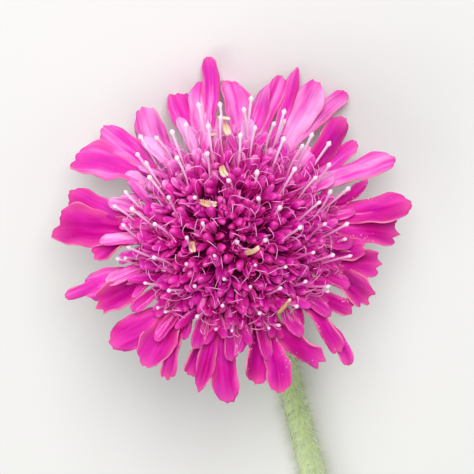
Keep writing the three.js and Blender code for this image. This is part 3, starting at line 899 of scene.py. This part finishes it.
def bristles():
    """The fine bristles of the calyces, which stand up between the florets."""
    for floret in DISC_FLORETS + SKIRT_FLORETS:
        k = floret.k
        number = 14 if k < BUDS else 8
        for j in range(number):
            q = 300 + 6 * j
            lean, _ = floret.around(math.tau * (j + 0.5 * vary(k, q)) / number)
            foot = floret.mouth + lean - 1.4 * floret.axis
            reach = 3.0 + 0.8 * vary(k, q + 1)
            end = foot + reach * floret.toward(0.7 * vary(k, q + 2), 0.7 * vary(k, q + 3))
            bend = (foot + end) / 2 + 0.3 * vary(k, q + 4) * lean
            shape = rod((foot, bend, end), taper(0.07, 0.035), BRISTLE_STATIONS)
            yield shape, 0.5 + 0.5 * vary(k, q + 5)


# The cream anthers that are still held: the floret, then the anther's middle, heading and length
ANTHERS = [
    (61, (-2.1, 12.5, 4.0), (0.99, -0.06, 0.08), 1.6),
    (40, (-1.7, 10.9, 5.5), (0.4, -0.9, -0.14), 1.4),
    (61, (-3.3, 10.8, 2.4), (0.97, 0.2, 0.13), 1.8),
    (6, (-1.9, 5.6, 8.5), (0.5, -0.86, -0.12), 1.3),
    (9, (-3.3, 2.2, 7.2), (0.99, -0.09, 0.07), 2.0),
    (12, (-4.5, -2.8, 7.1), (0.19, -0.97, -0.17), 1.2),
    (2, (1.8, -2.7, 8.0), (0.87, 0.46, 0.17), 1.7),
    (52, (6.1, -8.0, 4.8), (0.57, 0.79, 0.2), 2.2),
]


def anther_stalks():
    """The filaments that still carry their anthers."""
    for k, middle, _, _ in ANTHERS:
        floret = ALL_FLORETS[k]
        foot = floret.mouth - 0.5 * floret.axis
        line = (foot, foot + 1.5 * floret.axis, np.array(middle) - 0.3 * floret.axis, np.array(middle))
        yield rod(line, taper(0.085, 0.03), FILAMENT_STATIONS), 0.9


def sac_radius(share):
    return 0.03 + 0.17 * np.sqrt(np.clip(1 - (2 * share - 1) ** 4, 0, 1))


def anthers():
    """Each anther is two narrow sacs side by side."""
    for k, middle, heading, length in ANTHERS:
        middle, heading = np.array(middle), unit(np.array(heading))
        across = unit(np.cross(heading, ALL_FLORETS[k].axis))
        for hand in (-1, 1):
            line = [middle + 0.13 * hand * across + s * length * heading for s in (-0.5, -0.2, 0.2, 0.5)]
            line[1] = line[1] + 0.2 * across
            line[2] = line[2] + (0.2 + 0.3 * vary(k, 40 + hand)) * across
            # Painted light: anthers on the lit side are tinted paler, the others deeper.
            yield rod(line, sac_radius, ANTHER_STATIONS), painted_light(middle)


# The stalk

def bearing(angle):
    """The way along the table at an angle from -Y towards +X."""
    return np.array((math.sin(angle), -math.cos(angle), 0))


def stalk_line():
    """The two Bezier lines of the stalk, in table millimetres."""
    down = -TURN_ROWS @ UP
    foot = PLACE_ROW + (CUP_DEPTH + GAP) * down
    lying = PLACE_ROW * (1, 1, 0) + UP * (STALK_RADIUS - STALK_FLAT)
    landing = lying + NECK_REACH * bearing(NECK_BEARING)
    bend = landing - 0.35 * NECK_REACH * bearing(STALK_BEARING)
    end = lying + np.array((STALK_SWING, -STALK_REACH, 0))
    return (foot, foot + 0.35 * NECK_REACH * down, bend, landing), (
        landing,
        landing + 0.25 * STALK_REACH * bearing(STALK_BEARING),
        end - 0.3 * STALK_REACH * bearing(-STALK_BEARING / 2),
        end,
    )


def stalk_course(count):
    """Points and headings along the stalk, from the head to the cut end."""
    neck, rest = stalk_line()
    bent = int(count * NECK_SHARE)
    near, near_heading = bezier(neck, np.linspace(0, 1, bent + 1))
    far, far_heading = bezier(rest, np.linspace(0, 1, count - bent + 1))
    return np.concatenate((near[:-1], far)), np.concatenate((near_heading[:-1], far_heading))


def stalk():
    """The place of the stalk: faintly ridged and swollen, flat on the table, and cut on the slant."""
    middle, heading = stalk_course(STALK_STATIONS)
    across = unit(np.cross(UP, heading))
    above = np.cross(heading, across)

    def shape(points):
        ring = np.rint(points[:, 2] * STALK_STATIONS).astype(int)
        angle = np.arctan2(points[:, 1], points[:, 0])
        ridge = 1 + 0.02 * np.cos(6 * angle)
        swell = STALK_RADIUS * ridge * (1 + 0.05 * np.cos(ring * 0.35))
        sideways, upwards = (swell * np.cos(angle))[:, None], (swell * np.sin(angle))[:, None]
        placed = middle[ring] + sideways * across[ring] + upwards * above[ring]
        last = ring == STALK_STATIONS
        drop = STALK_RADIUS - (placed[last, 2] - STALK_RADIUS) * math.tan(CUT_SLANT)
        placed[last] -= heading[-1] * drop[:, None]
        placed[:, 2] = np.maximum(placed[:, 2], 0.0)
        return placed, angle / math.tau + 0.5, ring / STALK_STATIONS

    return [(shape, 0.5)]


def stalk_hairs():
    """Short white hairs that stand out all round the stalk."""
    middle, heading = stalk_course(HAIR_PLACES)
    across = unit(np.cross(heading, UP))
    above = np.cross(across, heading)
    for where, turn, length, bend, sway, tint in np.random.default_rng(SEED).random((STALK_HAIRS, 6)):
        ring = int(where ** 1.25 * (HAIR_PLACES - 4))
        angle = turn * math.tau
        out = math.cos(angle) * across[ring] + math.sin(angle) * above[ring]
        foot = middle[ring] + (STALK_RADIUS - 0.06) * out
        if foot[2] < 0.35 and out[2] < 0:
            continue
        reach = 0.7 + 1.1 * length
        lean = out + (0.9 * bend - 0.2) * heading[ring] + (sway - 0.5) * 0.8 * np.cross(out, heading[ring])
        end = foot + reach * unit(lean)
        bent = foot + reach * 0.6 * out
        bent[2], end[2] = max(bent[2], 0.06), max(end[2], 0.06)
        yield rod((foot, bent, end), hair_taper(0.032), HAIR_STATIONS, table=True), tint


# The green cup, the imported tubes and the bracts

def turned(name, profile, material, slot):
    """A closed form turned about the head's axis, from (radius, height) pairs."""
    count = len(profile) - 1
    radii = np.array([max(r, 0.01) for r, _ in profile])
    heights = np.array([h for _, h in profile])

    def shape(points):
        ring = np.rint(points[:, 2] * count).astype(int)
        placed = np.stack((points[:, 0] * radii[ring], points[:, 1] * radii[ring], heights[ring]), 1)
        return on_table(placed, 0.1), points[:, 0] / 2 + 0.5, points[:, 2]

    copies(name, rod_blank(TURNED_SIDES, count), [(shape, 0.5)], material, slot, slot)


def cup_profile():
    """Up the outside of the cup, in under the ring of the rays, and up the receptacle."""
    top = RECEPTACLE_HEIGHT - RECEPTACLE_DROP
    under_ring = RING_BOTTOM - GAP
    return [
        (STALK_RADIUS * 0.6, -CUP_DEPTH), (STALK_RADIUS * 1.02, -CUP_DEPTH + 0.05),
        (STALK_RADIUS * 1.2, -4.45), (STALK_RADIUS * 1.6, -4.05),
        (2.6, -3.5), (3.7, -2.85), (4.7, -2.4), (5.4, -1.95), (5.65, -1.5),
        (5.5, under_ring), (RECEPTACLE_RADIUS, under_ring + 0.05),
        (RECEPTACLE_RADIUS, top - 0.8), (RECEPTACLE_RADIUS * 0.6, top), (0.3, top + 0.05),
    ]


def core_profile():
    """The dome of packed tubes, painted near black for the shade that shows between the florets."""
    low = RING_TOP + GAP
    return [(3.0, low)] + [
        (CORE_WIDTH * math.cos(a), low + (CORE_HEIGHT - low) * math.sin(a))
        for a in np.linspace(0, math.pi / 2 * 0.98, 9)
    ]


def ring_profile():
    """The ring of tubes that the rays stand in."""
    inner, rim = RECEPTACLE_RADIUS + GAP, RING_OUTER - RING_BEVEL
    return [
        (inner, RING_BOTTOM), (RING_OUTER - 1.1, RING_BOTTOM), (rim, -0.4),
        (RING_OUTER, -0.1), (rim, 0.5), (RING_OUTER - 1.1, RING_TOP), (inner, RING_TOP),
    ]


def bract_half(along):
    """Half the width of a bract at a share of its length."""
    return 1.35 * (0.75 + 0.9 * along) * (1.02 - along)


def bract_lines():
    """The midline, the way across and the tint of each bract."""
    lines = []
    for whorl, (length, height) in enumerate(BRACT_WHORLS):
        for index in range(BRACTS):
            azimuth = (index + whorl / 2) * math.tau / BRACTS + 0.1 * vary(index, 40 + whorl)
            outward, across = compass(azimuth)
            climb = 0.8 + 0.3 * vary(index, 42 + whorl)
            line = (
                BRACT_ROOT * outward + height * UP,
                (BRACT_ROOT + 0.45 * length) * outward + (height + 0.9 * climb) * UP,
                (BRACT_ROOT + length) * outward + (height + climb) * UP,
            )
            lines.append((line, across, 0.5 + 0.5 * vary(index, 44 + whorl)))
    return lines


def bract(line, across):
    """The place of one bract: a narrow pointed leaf with a keel."""
    def shape(blank):
        side, along = blank[:, 0], blank[:, 1]
        wide = bract_half(along)
        middle, _ = bezier(line, along)
        keel = 0.35 * wide * side * side - 0.12 * np.exp(-(side / 0.18) ** 2)
        placed = middle + across * (side * wide)[:, None] + UP * keel[:, None]
        return on_table(placed, 0.2), side / 2 + 0.5, along

    return shape


def bract_hairs(lines):
    """Short white hairs on the undersides and edges of the bracts."""
    draws = np.random.default_rng(SEED + 1).random((len(lines), BRACT_HAIRS, 6))
    for (line, across, _), rows in zip(lines, draws):
        for along, side, length, bend, sway, tint in rows:
            middle, heading = bezier(line, [along])
            offset = 2 * side - 1
            offset = math.copysign(abs(offset) ** 0.6, offset)
            foot = middle[0] + across * offset * bract_half(along) - UP * 0.1
            out = unit(across * offset * 0.9 - UP * (0.4 + 0.6 * bend) + heading[0] * (sway - 0.1))
            line_out = (foot, foot + 0.3 * out, foot + (0.4 + 0.5 * length) * out)
            yield rod(line_out, hair_taper(0.03), HAIR_STATIONS, clearance=0.05), tint


# The pieces of the flower. Those that stand for a solid hide its node.

RAY = ("ray_florets", "ray_florets")
DISC = ("disc_florets", "disc_florets")
ray_places = list(ray_lobes())
sheets("ray_petals", petal_blank(18, 34), ray_places, [PETAL_TOP, PETAL_UNDER, PETAL_RIM], PETAL, *RAY)
sheets("skirt_petals", petal_blank(10, 16), skirt_lobes(), [DISC_TOP], PETAL, *DISC)

sleeve = sleeve_blank(16, 8)
sheets("ray_tubes", sleeve, tubes(RAY_FLORETS, RAY_TUBE), [DISC_TOP], PETAL, *RAY)
sheets("skirt_tubes", sleeve, tubes(SKIRT_FLORETS, SKIRT_TUBE), [DISC_TOP], PETAL, *DISC)
sheets("disc_tubes", sleeve, tubes(DISC_FLORETS, DISC_TUBE), [DISC_TOP], PETAL, *DISC)

ball = ball_blank(10, 6)
small_lobes = [*plump_lobes(), *rolled_lobes(), *inner_lobes(SKIRT_FLORETS), *small_buds()]
copies("pollen_grains", ball_blank(6, 4), pollen(ray_places), POLLEN, "ray_florets")
copies("disc_petals", ball, small_lobes, DISC_TOP, *DISC)
copies("ray_inner_petals", ball, inner_lobes(RAY_FLORETS), DISC_TOP, *RAY)
turned("disc_core", core_profile(), CORE, "disc_florets")
turned("ray_ring", ring_profile(), CORE, "ray_florets")

copies("styles", rod_blank(10, STYLE_STATIONS), styles(), STYLE, *DISC)
stamens = [*filaments(), *anther_stalks()]
copies("filaments", rod_blank(5, FILAMENT_STATIONS), stamens, FILAMENT, "disc_florets")
copies("calyx_bristles", rod_blank(3, BRISTLE_STATIONS), bristles(), BRISTLE, "disc_florets")
copies("anthers", rod_blank(8, ANTHER_STATIONS), anthers(), ANTHER, "disc_florets")

turned("green_cup", cup_profile(), GREEN_CUP, "involucre")
lines = bract_lines()
bracts = [(bract(line, across), tint) for line, across, tint in lines]
sheets("bracts", petal_blank(6, 14), bracts, [BRACT], BRACT_THICK, "involucre", "involucre")
hair_rod = rod_blank(3, HAIR_STATIONS)
copies("bract_hairs", hair_rod, bract_hairs(lines), HAIR, "involucre")
copies("stalk", rod_blank(STALK_SIDES, STALK_STATIONS), stalk(), STALK_SKIN, "stem", "stem")
copies("stalk_hairs", hair_rod, stalk_hairs(), HAIR, "stem")

for blank in [thing for thing in bpy.data.objects if "blank" in thing.name]:
    bpy.data.objects.remove(blank)


# The table, the light and the camera

TABLE_WIDTH = 3
TABLE_COLOUR = (0.86, 0.86, 0.84, 1)
SKY_STRENGTH = 0.36
CLIMB_BEARING = math.radians(94.4)
TILT, SLANT = math.radians(12), math.radians(30)
LENS, SENSOR = 200, 36
WIDTH_SEEN = 0.0527
SIDE_STEP = 0.0008


def table_top():
    bpy.ops.object.select_all(action="DESELECT")
    bpy.ops.mesh.primitive_plane_add(size=TABLE_WIDTH)
    top = bpy.context.active_object
    top.name = "table_top"
    material, _, shader = finish("pale_table", 0.85, specular=0.2)
    shader.inputs["Base Color"].default_value = TABLE_COLOUR
    top.data.materials.append(material)


def soft_light(name, place, size, power):
    """A square light that faces the head."""
    lamp = bpy.data.lights.new(name, "AREA")
    lamp.size = size
    lamp.energy = power
    holder = bpy.data.objects.new(name, lamp)
    holder.location = place
    aim = Vector((0, HEAD_PLACE.y * MM, 0.01)) - Vector(place)
    holder.rotation_euler = aim.to_track_quat("-Z", "Y").to_euler()
    bpy.context.collection.objects.link(holder)


def sky():
    world = bpy.data.worlds.new("studio")
    bpy.context.scene.world = world
    world.use_nodes = True
    background = world.node_tree.nodes["Background"]
    background.inputs["Color"].default_value = (1, 1, 1, 1)
    background.inputs["Strength"].default_value = SKY_STRENGTH


def camera():
    """Looks down on the head, 12 degrees off its axis. In the head's frame, climb is the way that
    points up in the picture, and beside points right."""
    climb = Vector((math.cos(CLIMB_BEARING), math.sin(CLIMB_BEARING), 0))
    beside = Vector((climb.y, -climb.x, 0))
    lean = math.cos(SLANT) * climb + math.sin(SLANT) * beside
    toward = Vector((0, 0, math.cos(TILT))) - math.sin(TILT) * lean
    upward = (climb - toward * climb.dot(toward)).normalized()
    toward, upward = HEAD_TURN @ toward, HEAD_TURN @ upward
    right = upward.cross(toward)
    eye = bpy.data.objects.new("camera", bpy.data.cameras.new("camera"))
    eye.data.lens = LENS
    eye.data.sensor_width = SENSOR
    eye.data.clip_start = 0.01
    eye.matrix_world = Matrix((right, upward, toward)).transposed().to_4x4()
    eye.location = HEAD_PLACE * MM + right * SIDE_STEP + toward * (WIDTH_SEEN * LENS / SENSOR)
    bpy.context.collection.objects.link(eye)
    bpy.context.scene.camera = eye


table_top()
soft_light("window_light", (0.05, 0.66, 0.62), 0.45, 6.3)
soft_light("side_light", (-0.6, -0.3, 0.6), 0.6, 2.6)
sky()
camera()
bpy.context.scene.view_settings.view_transform = "Standard"
